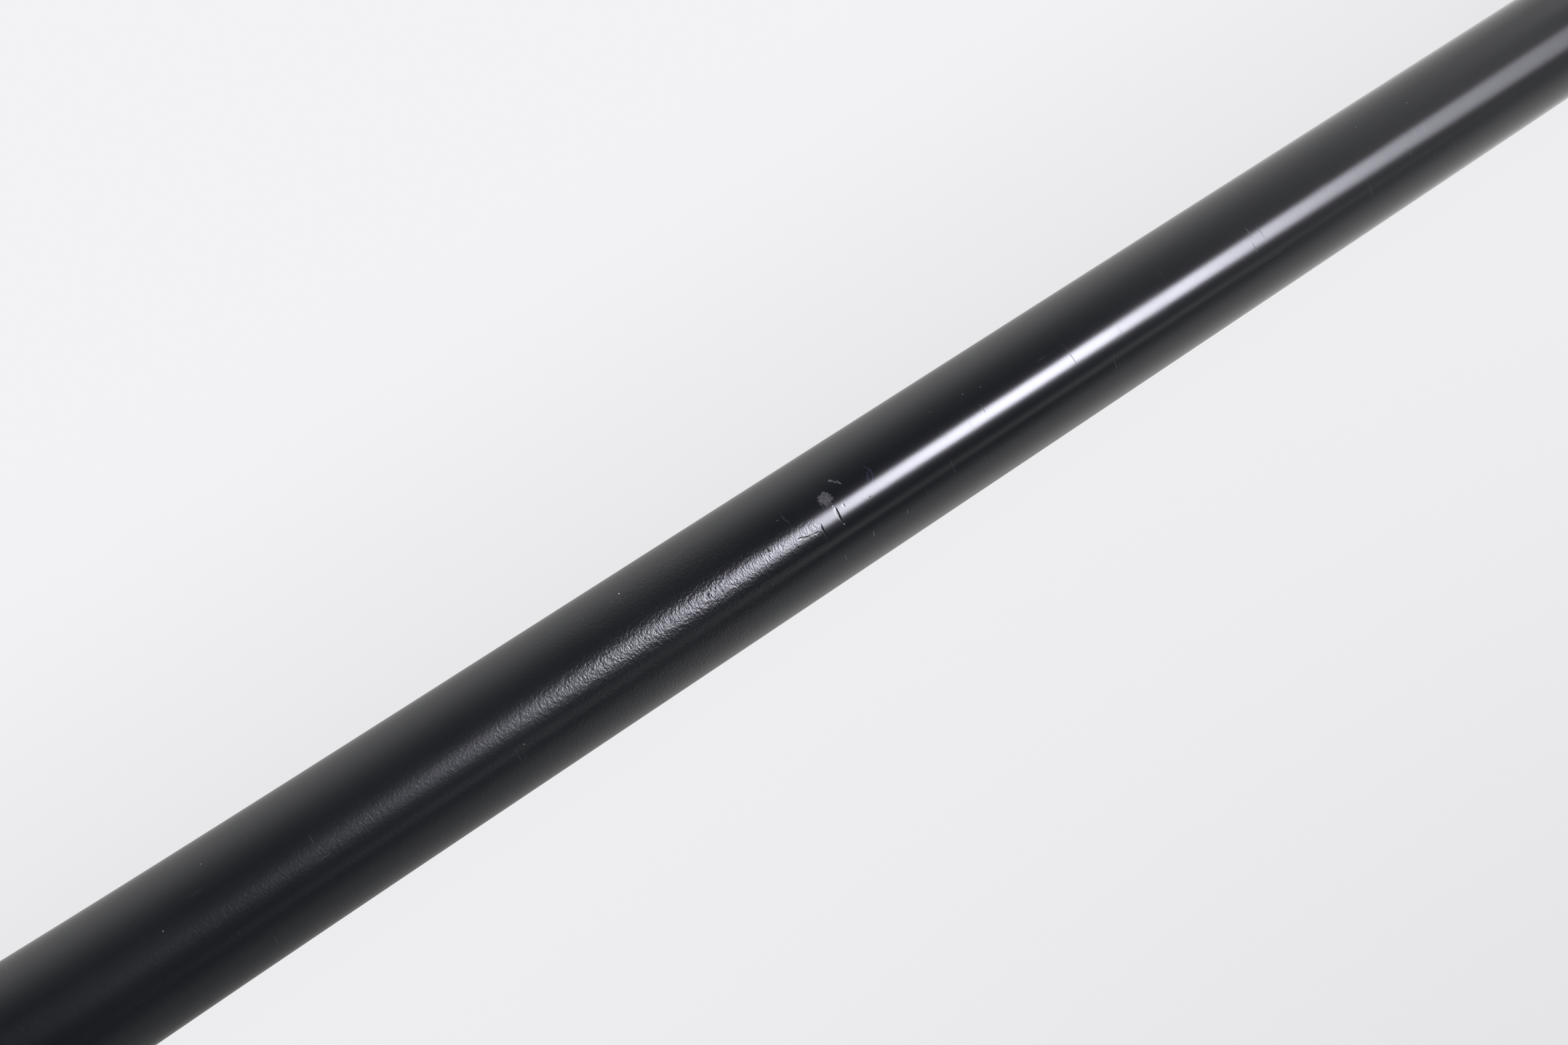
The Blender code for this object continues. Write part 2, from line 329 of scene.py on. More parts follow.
# Level of the surroundings round the bat, in degrees from the zenith towards the front.
AROUND = ((-180, 0.55), (-125, 0.64), (-108, 0.80), (-95, 0.95), (-78, 1.11), (-64, 1.07),
          (-52, 0.86), (-40, 0.60), (-30, 0.40), (-19, 0.24), (-8, 0.12), (5, 0.09),
          (45, 0.09), (64, 0.09), (84, 0.12), (95, 0.36), (106, 0.72), (119, 0.82),
          (133, 0.92), (150, 0.96), (174, 0.74), (180, 0.55))
FRONT = ((-180, 0.6), (-140, 0.0), (62, 0.0), (84, 0.5), (100, 1.0), (165, 1.0), (180, 0.6))
BEYOND_KNOB = ((-180, 0.55), (-120, 0.9), (-85, 0.8), (-70, 0.2), (-60, 0.12), (-48, 2.6), (-30, 3.0),
               (-18, 0.5), (-8, 0.14), (40, 0.14), (75, 0.3), (110, 0.9), (150, 0.95), (180, 0.55))


RAMP_TOP = 4.0                       # a ramp's own levels end at 1, so they are scaled by this


def ring_levels(n, angle, stops):
    position = n.math("ADD", n.math("DIVIDE", angle, TURN), 0.5)
    level = n.ramp(position, [(degrees / 360.0 + 0.5, level / RAMP_TOP) for degrees, level in stops])
    return n.math("MULTIPLY", level, RAMP_TOP)


def make_world():
    world = bpy.data.worlds.new("studio")
    bpy.context.scene.world = world
    world.use_nodes = True
    n = Nodes(world.node_tree)
    x, y, z = n.split(n.add("ShaderNodeTexCoord").outputs["Generated"])
    angle = n.math("ARCTAN2", n.math("MULTIPLY", y, -1.0), z)
    lean = n.math("ARCSINE", x)

    base = ring_levels(n, angle, AROUND)
    # The front of the sweep is in shade except towards the knob.
    front = ring_levels(n, angle, FRONT)
    shade = n.math("MINIMUM", n.math("MULTIPLY_ADD", n.math("ABSOLUTE", x), 1.65, 0.36), 1.0)
    base = n.math("MULTIPLY", base, n.mix(front, 1.0, shade))
    # A faint, narrow strip low in front.
    strip = n.hill(angle, 74.5 * DEGREE, 3.0 * DEGREE)
    strip = n.math("MULTIPLY", strip, n.ease(x, 0.0, 0.25))
    strip = n.math("MULTIPLY", strip, n.math("MULTIPLY_ADD", n.hill(x, 0.41, 0.035), -0.55, 1.0))
    base = n.math("ADD", base, strip)
    # The side beyond the knob is white too.
    side = n.ease(x, 0.43, 0.70)
    dim_front = n.math("MULTIPLY_ADD", n.hill(angle, 80.0 * DEGREE, 20.0 * DEGREE), -0.45, 1.05)
    level = n.mix(side, base, dim_front)
    beyond = ring_levels(n, angle, BEYOND_KNOB)
    level = n.mix(n.ease(x, 0.70, 0.76), level, beyond)
    level = n.mix(n.ease(x, 0.955, 0.995), level, 0.5)

    # Softbox: wide round the bat, softer along it.
    past = n.math("MAXIMUM", n.math("SUBTRACT", lean, KEY_BEND), 0.0)
    across = n.math("SUBTRACT", n.math("SUBTRACT", angle, KEY_ANGLE), n.math("MULTIPLY", past, KEY_SKEW))
    flare = n.math("MULTIPLY_ADD", n.math("SUBTRACT", past, 4.0 * DEGREE), KEY_FLARE, 1.0)
    across = n.math("DIVIDE", across, n.math("MAXIMUM", flare, 1.0))
    across = n.plateau(across, 0.0, KEY_HALF_WIDTH / math.cos(KEY_LEAN), 5.0)
    along = n.plateau(lean, KEY_LEAN, KEY_LENGTH, 2.8)
    along = n.math("MULTIPLY_ADD", n.hill(lean, KEY_LEAN, KEY_SPILL), 0.10, along)
    tail = n.ease(lean, 35.0 * DEGREE, 40.0 * DEGREE)
    tail = n.math("MULTIPLY", tail, n.ease(lean, 47.0 * DEGREE, 43.0 * DEGREE))
    along = n.math("MULTIPLY_ADD", tail, 0.105, along)
    key = n.math("MULTIPLY", n.math("MULTIPLY", across, along), KEY_LEVEL)

    # A long strip light beyond the barrel.
    second = n.math("MULTIPLY", n.hill(angle, 12.0 * DEGREE, 7.0 * DEGREE), n.ease(x, -0.14, -0.25))
    lights = n.math("MULTIPLY_ADD", second, 7.0, key)

    colour = n.add("ShaderNodeCombineXYZ")
    for socket, share in zip(colour.inputs, KEY_TINT):
        n.put(socket, n.math("MULTIPLY_ADD", lights, share, level))
    lit = n.add("ShaderNodeBackground")
    n.link(colour.outputs[0], lit.inputs["Color"])
    seen = n.add("ShaderNodeBackground")
    seen.inputs["Color"].default_value = (*[SWEEP_BACK * t for t in SWEEP_TINT], 1.0)
    path = n.add("ShaderNodeLightPath")
    mix = n.add("ShaderNodeMixShader")
    n.link(path.outputs["Is Camera Ray"], mix.inputs["Fac"])
    n.link(lit.outputs[0], mix.inputs[1])
    n.link(seen.outputs[0], mix.inputs[2])
    out = n.add("ShaderNodeOutputWorld")
    n.link(mix.outputs[0], out.inputs["Surface"])


def make_floor():
    mesh = bpy.data.meshes.new("floor")
    corners = [(x * FLOOR_HALF, y * FLOOR_HALF, 0.0) for x, y in ((-1, -1), (1, -1), (1, 1), (-1, 1))]
    mesh.from_pydata(corners, [], [(0, 1, 2, 3)])
    floor = bpy.data.objects.new("floor", mesh)
    bpy.context.scene.collection.objects.link(floor)
    material = bpy.data.materials.new("white_sweep")
    material.use_nodes = True
    n = Nodes(material.node_tree)
    diffuse = n.add("ShaderNodeBsdfDiffuse")
    diffuse.inputs["Color"].default_value = (SWEEP_DIFFUSE, SWEEP_DIFFUSE, SWEEP_DIFFUSE, 1.0)
    glow = n.add("ShaderNodeEmission")
    glow.inputs["Color"].default_value = (*SWEEP_TINT, 1.0)
    length, depth, _ = n.split(n.add("ShaderNodeTexCoord").outputs["Object"])
    # Painted shade: the glow is a little lower under and in front of the bat than behind it.
    level = n.ease(depth, 0.0, 0.12, SWEEP_MIDDLE - SWEEP_DIFFUSE, SWEEP_BACK - SWEEP_DIFFUSE)
    # Painted shade: a long soft pool in front of the bat.
    pool = n.vector("DISTANCE", n.stretch(n.join(length, depth), POOL_SHRINK), POOL_MIDDLE)
    level = n.math("MULTIPLY_ADD", n.ease(pool, POOL_RADIUS, 0.0), -FLOOR_PAINTED_POOL, level)
    # Painted shadow: a darker band close behind the bat.
    shade = n.math("MULTIPLY", n.ease(depth, 0.0, 0.026), n.ease(depth, 0.10, 0.026))
    shade = n.math("MULTIPLY", shade, n.ease(n.math("ABSOLUTE", length), 0.50, 0.30))
    level = n.math("MULTIPLY_ADD", shade, -FLOOR_PAINTED_SHADOW, level)
    # Far from the bat the floor is even, and meets the backdrop without a line.
    away = n.vector("LENGTH", n.join(length, depth))
    level = n.mix(n.ease(away, 0.35, 1.9), level, SWEEP_BACK - SWEEP_DIFFUSE)
    n.link(level, glow.inputs["Strength"])
    both = n.add("ShaderNodeAddShader")
    n.link(diffuse.outputs[0], both.inputs[0])
    n.link(glow.outputs[0], both.inputs[1])
    out = n.add("ShaderNodeOutputMaterial")
    n.link(both.outputs[0], out.inputs["Surface"])
    mesh.materials.append(material)
    # The bat mirrors the studio's own surroundings, not this sheet.
    floor.visible_glossy = False


# ----------------------------------------
# Wear on the bare handle, and painted glints on its cut edges. Places are (station in mm, angle in degrees).
# ----------------------------------------
# Nicks cut round the tube: middle station, first and last angle, width towards the barrel,
# width towards the knob, depth.
NICKS = (
    (467.10, 25.0, 41.0, 0.50, 0.24, 0.055),
    (470.85, 30.5, 48.0, 0.26, 0.20, 0.046),
    (465.60, 26.2, 29.2, 0.20, 0.15, 0.036),
)
NICK_LEAN = 0.018                 # how far a nick drifts towards the barrel, mm per degree
# Fine lines: start, end, half width.
LINES = (
    ((475.4, 29.9), (473.9, 32.6), 0.09),
    ((473.9, 32.6), (471.9, 34.6), 0.08),
    ((474.9, 32.3), (473.3, 34.2), 0.08),
    ((481.1, 20.8), (480.7, 26.2), 0.13),
    ((470.89, 32.5), (471.08, 43.5), 0.11),
    ((467.25, 33.0), (467.38, 40.0), 0.10),
    ((475.4, 5.4), (475.5, 10.5), 0.08),
    ((475.5, 10.5), (475.1, 15.0), 0.07),
    ((493.4, 27.2), (493.6, 31.5), 0.09),
)
BLUE_LINES = (
    ((458.6, 9.6), (458.2, 13.4), 0.22),
    ((458.2, 13.4), (458.2, 17.6), 0.26),
    ((458.2, 17.6), (458.7, 23.4), 0.22),
    ((458.9, 15.4), (459.3, 19.0), 0.24),
    ((459.3, 19.0), (459.7, 22.5), 0.20),
)
PALE_LINES = (
    ((465.0, 2.2), (464.5, 5.6), 0.26),
    ((464.5, 5.6), (464.2, 7.6), 0.14),
    ((464.0, 7.0), (463.8, 10.2), 0.20),
    ((469.2, 68.6), (469.1, 72.4), 0.14),
    ((462.9, 63.0), (463.0, 67.5), 0.11),
    ((455.6, 63.5), (455.7, 66.8), 0.11),
)
# Painted highlights: bright lines where the cut edges catch the light, painted into the coat's colour.
GLINT_LINES = (
    ((475.7, 30.9), (474.2, 33.6), 0.085),
    ((474.2, 33.6), (472.0, 35.6), 0.070),
    ((474.6, 31.2), (472.6, 33.6), 0.060),
    ((465.9, 26.4), (465.8, 27.6), 0.080),
)
# Painted highlights: bright dots at the nicks' ends and on the coat, painted into its colour.
GLINT_DOTS = (
    ((467.30, 22.9), 0.16),
    ((467.20, 41.4), 0.13),
    ((476.55, 7.4), 0.075),
    ((505.0, -17.0), 0.17),
)
DARK_DOTS = (
    ((460.8, 33.7), 0.12),
    ((479.6, 34.2), 0.15),
    ((480.2, 33.0), 0.10),
    ((493.5, 28.6), 0.20),
    ((493.1, 30.4), 0.16),
    ((491.9, 26.7), 0.19),
)
CHIP_PLACE = (467.65, 14.4)
CHIP_RADIUS = 1.12
CHIP_DEPTH = 0.035
HANDLE_SKIN = INSIDE * HANDLE_RADIUS

# Dents that balls left in the barrel: station, angle, size and depth.
DENTS = (
    (752.0, 22.0, 9.0, 0.28),
    (806.0, -38.0, 12.0, 0.38),
    (838.0, 64.0, 8.0, 0.22),
    (778.0, 141.0, 10.0, 0.30),
    (815.0, -122.0, 11.0, 0.34),
    (866.0, 8.0, 7.0, 0.18),
)


def unrolled(place):
    """(station, distance round the handle) in metres of a place on the handle."""
    return (place[0] * MM, place[1] * DEGREE * HANDLE_SKIN)


def nick_depth(station, angle):
    """Depth of the nicks at a place, in metres."""
    deepest = 0.0
    for middle, first, last, wide, narrow, depth in NICKS:
        if not first < angle < last or abs(station - middle) > 1.5:
            continue
        share = (angle - first) / (last - first)
        fade = math.sin(math.pi * share ** 0.7)
        offset = station - middle - NICK_LEAN * (angle - first)
        width = wide * (1.0 - 0.6 * share) if offset > 0.0 else narrow
        flank = max(1.0 - abs(offset) / width, 0.0)
        deepest = max(deepest, depth * fade * flank * (0.35 + 0.65 * flank))
    return deepest * MM


def chip_depth(station, angle):
    across = (angle - CHIP_PLACE[1]) * DEGREE * HANDLE_SKIN / MM
    away = math.hypot(station - CHIP_PLACE[0], across)
    return CHIP_DEPTH * MM * (1.0 - smoothstep(0.75 * CHIP_RADIUS, 1.1 * CHIP_RADIUS, away))


def dent_depth(station, angle):
    total = 0.0
    for middle, around, size, depth in DENTS:
        turn = (angle - around + 180.0) % 360.0 - 180.0
        away = math.hypot(station - middle, turn * DEGREE * BARREL_RADIUS / MM) / size
        if away < 2.5:
            total += depth * math.exp(-2.0 * away * away)
    return total * MM


DENTED_FROM = 700.0
MARKED_FROM, MARKED_TO = 460.0, 475.0


def worn_shell(radius, angle, station):
    """The shell's radius with its dents, nicks and chip pressed in."""
    degrees = angle / DEGREE
    degrees = degrees - 360.0 if degrees > 180.0 else degrees
    place = station / MM
    if place > DENTED_FROM:
        return radius - dent_depth(place, degrees)
    if MARKED_FROM < place < MARKED_TO:
        return radius - nick_depth(place, degrees) - chip_depth(place, degrees)
    return radius


# ----------------------------------------
# Materials
# ----------------------------------------
def new_material(name):
    material = bpy.data.materials.new(name)
    material.use_nodes = True
    n = Nodes(material.node_tree)
    shader = n.add("ShaderNodeBsdfPrincipled")
    out = n.add("ShaderNodeOutputMaterial")
    n.link(shader.outputs[0], out.inputs["Surface"])
    return material, n, shader


def object_place(n):
    """The place in the bat's own frame: up, across and station. The pieces' own coordinates are
    the world's at rest, so the frame's lean is taken out here."""
    offset = n.vector("SUBTRACT", n.add("ShaderNodeTexCoord").outputs["Object"], tuple(ORIGIN))
    return n.join(*[n.vector("DOT_PRODUCT", offset, tuple(axis)) for axis in (TOP, ACROSS, AXIS)])


def finish_shader(n, shader, colour, roughness, normal, metallic=None):
    n.put(shader.inputs["Base Color"], colour)
    n.put(shader.inputs["Roughness"], roughness)
    n.link(normal, shader.inputs["Normal"])
    if metallic is not None:
        n.put(shader.inputs["Metallic"], metallic)


def handle_marks(n, skin):
    """Masks of the handle's marks: cuts, blue rubs, pale rubs, painted glints, the chip and its pale rim."""
    wobble = n.noise(n.stretch(skin, (1600.0, 1600.0, 1.0)), 1.0, 2.0)
    wobble = n.math("MULTIPLY", n.math("SUBTRACT", wobble, 0.5), 0.22 * MM)
    bent = n.vector("ADD", skin, n.join(wobble, wobble))
    lines = [n.stroke(bent, unrolled(a), unrolled(b), w * MM) for a, b, w in LINES]
    lines += [n.dot(bent, unrolled(place), r * MM) for place, r in DARK_DOTS]
    blue = [n.stroke(bent, unrolled(a), unrolled(b), w * MM) for a, b, w in BLUE_LINES]
    pale = [n.stroke(bent, unrolled(a), unrolled(b), w * MM) for a, b, w in PALE_LINES]
    glint = [n.stroke(bent, unrolled(a), unrolled(b), w * MM) for a, b, w in GLINT_LINES]
    glint += [n.dot(bent, unrolled(place), r * MM) for place, r in GLINT_DOTS]
    middle = unrolled(CHIP_PLACE)
    away = n.vector("DISTANCE", skin, (*middle, 0.0))
    ragged = n.noise(n.stretch(skin, (1500.0, 1100.0, 1.0)), 1.0, 5.0, 0.85)
    away = n.math("MULTIPLY_ADD", n.math("SUBTRACT", ragged, 0.5), 3.2 * MM, away)
    chip = n.ease(away, (CHIP_RADIUS + 0.10) * MM, (CHIP_RADIUS - 0.12) * MM)
    gaps = n.noise(n.stretch(skin, (4200.0, 1200.0, 1.0)), 1.0, 3.0, 0.7)
    chip = n.math("MULTIPLY", chip, n.ease(gaps, 0.36, 0.54, 0.10, 1.0))
    rim = n.math("MULTIPLY", chip, n.ease(away, (CHIP_RADIUS - 0.45) * MM, (CHIP_RADIUS - 0.1) * MM))
    station = n.split(skin)[0]
    rim = n.math("MULTIPLY", rim, n.ease(station, (CHIP_PLACE[0] + 0.1) * MM, (CHIP_PLACE[0] + 0.7) * MM))
    patchy = n.ease(gaps, 0.34, 0.56)
    blue = n.math("MULTIPLY", n.highest(blue), patchy)
    pale = n.math("MULTIPLY", n.highest(pale), patchy)
    return n.highest(lines), blue, pale, n.highest(glint), chip, rim


def coat_material():
    """Black satin coat of the tube, with its wear from handle to barrel."""
    material, n, shader = new_material("black_coat_worn")
    place = object_place(n)
    up, across, station = n.split(place)
    angle = n.math("ARCTAN2", n.math("MULTIPLY", across, -1.0), up)
    skin = n.join(station, n.math("MULTIPLY", angle, HANDLE_SKIN))
    lines, blue, pale, glint, chip, rim = handle_marks(n, skin)

    cloud = n.noise(place, 45.0, 4.0)
    smear = n.noise(n.stretch(place, (160.0, 160.0, 60.0)), 1.0, 3.0)
    fine = n.noise(place, 1500.0, 2.0)
    ridges = n.noise(n.stretch(place, (1700.0, 1700.0, 3300.0)), 1.0, 2.0, 0.6)
    lumps = n.noise(place, 1900.0, 2.0, 0.5)
    ridges = n.math("MULTIPLY_ADD", lumps, n.ease(station, 0.474, 0.496, 0.25, 1.1), ridges)
    ridged = n.math("MULTIPLY", n.ease(station, 0.4700, 0.4722, 0.0, 0.45),
                    n.ease(station, 0.545, 0.500, 0.35, 1.0))
    ridged = n.math("MULTIPLY_ADD", n.math("MULTIPLY", ridged, n.ease(station, 0.474, 0.490)), 0.75, ridged)
    hairs = n.noise(n.stretch(place, (90.0, 90.0, 2600.0)), 1.0, 1.0)
    patch = n.noise(place, 110.0, 2.0)
    hairs = n.math("MULTIPLY", n.ease(hairs, 0.70, 0.76), n.ease(patch, 0.52, 0.66))
    long_hairs = n.noise(n.stretch(place, (2200.0, 2200.0, 40.0)), 1.0, 1.0)
    long_hairs = n.math("MULTIPLY", n.ease(long_hairs, 0.72, 0.77), n.ease(patch, 0.46, 0.34))
    hairs = n.math("MAXIMUM", hairs, n.math("MULTIPLY", long_hairs, 0.7))
    dust = n.specks(place, 260.0, 0.035, 0.80)
    pits = n.specks(n.vector("ADD", place, (3.1, 1.7, 0.4)), 330.0, 0.05, 0.86)

    # The barrel is rubbed where it meets balls.
    hitting = n.ease(station, 0.66, 0.76)
    rubbed = n.noise(n.stretch(place, (38.0, 38.0, 26.0)), 1.0, 5.0, 0.62)
    rubbed = n.math("MULTIPLY", n.ease(rubbed, 0.50, 0.68), hitting)
    hatch = n.noise(n.stretch(place, (260.0, 260.0, 1900.0)), 1.0, 3.0, 0.6)
    hatch = n.math("MULTIPLY", n.ease(hatch, 0.54, 0.70), rubbed)
    chips = n.noise(place, 210.0, 5.0, 0.65)
    chips = n.math("MULTIPLY", n.ease(chips, 0.735, 0.75), hitting)
    # Bare alloy shows along the barrel's cut rim.
    ragged = n.math("MULTIPLY_ADD", n.noise(place, 420.0, 3.0), 0.0009, station)
    bare = n.math("MAXIMUM", n.ease(ragged, 0.92635, 0.92655), chips)

    colour = n.tint(cloud, (0.0036, 0.0042, 0.0054), (0.0058, 0.0066, 0.0082))
    colour = n.tint(n.math("MULTIPLY", hairs, 0.20), colour, (0.10, 0.10, 0.11))
    colour = n.tint(n.math("MULTIPLY", rubbed, 0.10), colour, (0.09, 0.09, 0.095))
    colour = n.tint(n.math("MULTIPLY", hatch, 0.30), colour, (0.13, 0.13, 0.135))
    colour = n.tint(n.math("MULTIPLY", blue, 0.22), colour, (0.06, 0.06, 0.13))
    colour = n.tint(n.math("MULTIPLY", pale, 0.52), colour, (0.13, 0.13, 0.135))
    # Painted highlights: the glint lines and dots get a light base colour.
    colour = n.tint(n.math("MULTIPLY", glint, 0.8), colour, (0.45, 0.45, 0.46))
    colour = n.tint(n.math("MULTIPLY", dust, 0.5), colour, (0.22, 0.22, 0.22))
    fibres = n.noise(n.stretch(skin, (3400.0, 900.0, 1.0)), 1.0, 3.0, 0.65)
    grey = n.tint(n.ease(fibres, 0.34, 0.68), (0.014, 0.014, 0.015), (0.068, 0.068, 0.070))
    grey = n.tint(n.math("MULTIPLY", rim, 0.8), grey, (0.115, 0.115, 0.118))
    colour = n.tint(n.math("MULTIPLY", chip, 0.93), colour, grey)
    colour = n.tint(bare, colour, (0.60, 0.60, 0.61))

    rough = n.ease(station, 0.4668, 0.4673, 0.168, 0.182)
    rough = n.math("ADD", rough, n.ease(station, 0.4705, 0.510, 0.0, 0.060))
    rough = n.math("ADD", rough, n.ease(station, 0.550, 0.620, 0.0, -0.035))
    rough = n.math("MULTIPLY_ADD", n.math("SUBTRACT", cloud, 0.5), 0.05, rough)
    rough = n.math("MULTIPLY_ADD", n.ease(smear, 0.56, 0.72), 0.025, rough)
    rough = n.math("MULTIPLY_ADD", rubbed, 0.14, rough)
    rough = n.math("MULTIPLY_ADD", hairs, 0.12, rough)
    rough = n.mix(chip, rough, 0.62)
    rough = n.mix(pale, rough, 0.55)
    rough = n.mix(lines, rough, 0.85)
    rough = n.mix(bare, rough, 0.36)

    normal = n.bump(ridges, 0.050 * MM)
    plain = n.bump(fine, 0.002 * MM)
    normal = n.bump(smear, 0.02 * MM, n.blend(ridged, plain, normal))
    cuts = n.math("MULTIPLY_ADD", pits, 0.7, lines)
    cuts = n.math("MULTIPLY_ADD", hairs, 0.12, cuts)
    cuts = n.math("MULTIPLY_ADD", chips, 1.2, cuts)
    cuts = n.math("MULTIPLY_ADD", n.math("MULTIPLY", chip, fibres), 0.9, cuts)
    normal = n.bump(n.math("MULTIPLY", cuts, -1.0), 0.05 * MM, normal)
    finish_shader(n, shader, colour, rough, normal, bare)
    return material


def knob_material():
    """The same coat on the knob, knocked through to the alloy along its rim."""
    material, n, shader = new_material("black_coat_knob")
    place = object_place(n)
    up, across, station = n.split(place)
    radius = n.vector("LENGTH", n.join(up, across))
    cloud = n.noise(place, 120.0, 4.0)
    fine = n.noise(place, 1300.0, 3.0)
    edges = n.math("ADD", n.hill(station, 1.2 * MM, 0.7 * MM), n.hill(station, 8.6 * MM, 0.9 * MM))
    edges = n.math("MULTIPLY", edges, n.ease(radius, 21.0 * MM, 23.0 * MM))
    chips = n.noise(place, 300.0, 5.0, 0.68)
    chips = n.math("MULTIPLY_ADD", edges, 0.16, chips)
    bare = n.ease(chips, 0.735, 0.752)
    worn = n.ease(chips, 0.62, 0.735)
    rings = n.noise(n.stretch(place, (30.0, 30.0, 3000.0)), 1.0, 2.0)
    colour = n.tint(cloud, (0.0045, 0.0048, 0.0055), (0.0075, 0.0078, 0.0088))
    colour = n.tint(n.math("MULTIPLY", worn, 0.25), colour, (0.08, 0.08, 0.085))
    colour = n.tint(bare, colour, (0.58, 0.58, 0.59))
    rough = n.math("MULTIPLY_ADD", cloud, 0.12, 0.20)
    rough = n.math("MULTIPLY_ADD", worn, 0.15, rough)
    normal = n.bump(rings, 0.006 * MM)
    normal = n.bump(fine, 0.006 * MM, normal)
    normal = n.bump(n.math("MULTIPLY", bare, -1.0), 0.06 * MM, normal)
    finish_shader(n, shader, colour, rough, normal, bare)
    return material


def polymer_material():
    """Black moulded polymer with a spark-eroded texture and scuffed edges."""
    material, n, shader = new_material("black_polymer_moulded")
    place = object_place(n)
    up, across, station = n.split(place)
    radius = n.vector("LENGTH", n.join(up, across))
    cloud = n.noise(place, 90.0, 4.0)
    sparks = n.noise(place, 2600.0, 3.0, 0.6)
    swirl = n.noise(place, 420.0, 5.0, 0.7)
    edge = n.math("MULTIPLY", n.ease(radius, 22.0 * MM, 27.0 * MM), n.ease(station, 0.930, 0.938))
    scuffs = n.ease(n.math("MULTIPLY_ADD", edge, 0.16, swirl), 0.60, 0.72)
    streaks = n.noise(n.stretch(place, (1500.0, 500.0, 300.0)), 1.0, 3.0)
    scuffs = n.math("MULTIPLY", scuffs, n.ease(streaks, 0.35, 0.62))
    colour = n.tint(cloud, (0.011, 0.011, 0.012), (0.019, 0.019, 0.020))
    colour = n.tint(n.math("MULTIPLY", scuffs, 0.45), colour, (0.14, 0.14, 0.14))
    rough = n.math("MULTIPLY_ADD", cloud, 0.14, 0.40)
    rough = n.math("MULTIPLY_ADD", scuffs, 0.20, rough)
    normal = n.bump(sparks, 0.035 * MM)
    normal = n.bump(n.math("MULTIPLY", scuffs, -1.0), 0.05 * MM, normal)
    finish_shader(n, shader, colour, rough, normal)
    return material


def leather_material():
    """Black synthetic leather strip: grain, perforations darkened with painted shade, a polished lap and
    dust in the grooves.
    """
    material, n, shader = new_material("grip_leather_wound")
    place = object_place(n)
    strip = n.add("ShaderNodeUVMap", uv_map="strip").outputs[0]
    along, over, _ = n.split(strip)
    diagonal = n.join(n.math("ADD", along, over), n.math("SUBTRACT", along, over))
    spot, _ = n.cells(diagonal, 1.0 / (5.6 * MM), 0.0)
    holes = n.ease(spot, 0.125, 0.085)
    dimple = n.ease(spot, 0.24, 0.10)
    clear = n.math("MULTIPLY", n.ease(over, 1.4 * MM, 2.0 * MM), n.ease(over, 20.2 * MM, 19.6 * MM))
    holes = n.math("MULTIPLY", holes, clear)
    dimple = n.math("MULTIPLY", dimple, clear)
    pebble, _ = n.cells(place, 1500.0)
    grain = n.noise(place, 700.0, 4.0, 0.6)
    cloud = n.noise(place, 70.0, 4.0)
    rubbed = n.hill(over, 2.4 * MM, 1.6 * MM)
    rubbed = n.math("MULTIPLY", rubbed, n.ease(cloud, 0.36, 0.62))
    groove = n.math("MAXIMUM", n.hill(over, 21.0 * MM, 0.9 * MM), n.math("MULTIPLY", dimple, 0.35))
    dust = n.math("MULTIPLY", groove, n.ease(grain, 0.40, 0.66))
    colour = n.tint(cloud, (0.014, 0.014, 0.0155), (0.024, 0.0235, 0.025))
    colour = n.tint(n.math("MULTIPLY", rubbed, 0.40), colour, (0.040, 0.039, 0.040))
    colour = n.tint(n.math("MULTIPLY", dust, 0.45), colour, (0.085, 0.080, 0.072))
    # Painted shade: the perforations are only pressed in by the bump, and are coloured near black for the
    # shade inside them.
    colour = n.tint(holes, colour, (0.0025, 0.0025, 0.0025))
    rough = n.math("MULTIPLY_ADD", grain, 0.16, 0.48)
    rough = n.math("MULTIPLY_ADD", rubbed, -0.16, rough)
    rough = n.math("MULTIPLY_ADD", dust, 0.2, rough)
    normal = n.bump(pebble, 0.07 * MM)
    normal = n.bump(grain, 0.05 * MM, normal)
    pressed = n.math("MULTIPLY_ADD", holes, -1.0, n.math("MULTIPLY", dimple, -0.30))
    normal = n.bump(pressed, 0.30 * MM, normal)
    finish_shader(n, shader, colour, rough, normal)
    return material


def vinyl_material():
    """Stretched black vinyl tape."""
    material, n, shader = new_material("vinyl_tape_stretched")
    place = object_place(n)
    cloud = n.noise(place, 150.0, 4.0)
    pulled = n.noise(n.stretch(place, (160.0, 160.0, 1500.0)), 1.0, 4.0, 0.6)
    dust = n.specks(place, 500.0, 0.09, 0.6)
    colour = n.tint(cloud, (0.009, 0.009, 0.010), (0.016, 0.016, 0.018))
    colour = n.tint(n.math("MULTIPLY", n.ease(pulled, 0.6, 0.8), 0.20), colour, (0.06, 0.06, 0.065))
    colour = n.tint(n.math("MULTIPLY", dust, 0.4), colour, (0.18, 0.18, 0.18))
    rough = n.math("MULTIPLY_ADD", pulled, 0.20, 0.24)
    normal = n.bump(pulled, 0.05 * MM)
    normal = n.bump(cloud, 0.12 * MM, normal)
    finish_shader(n, shader, colour, rough, normal)
    return material


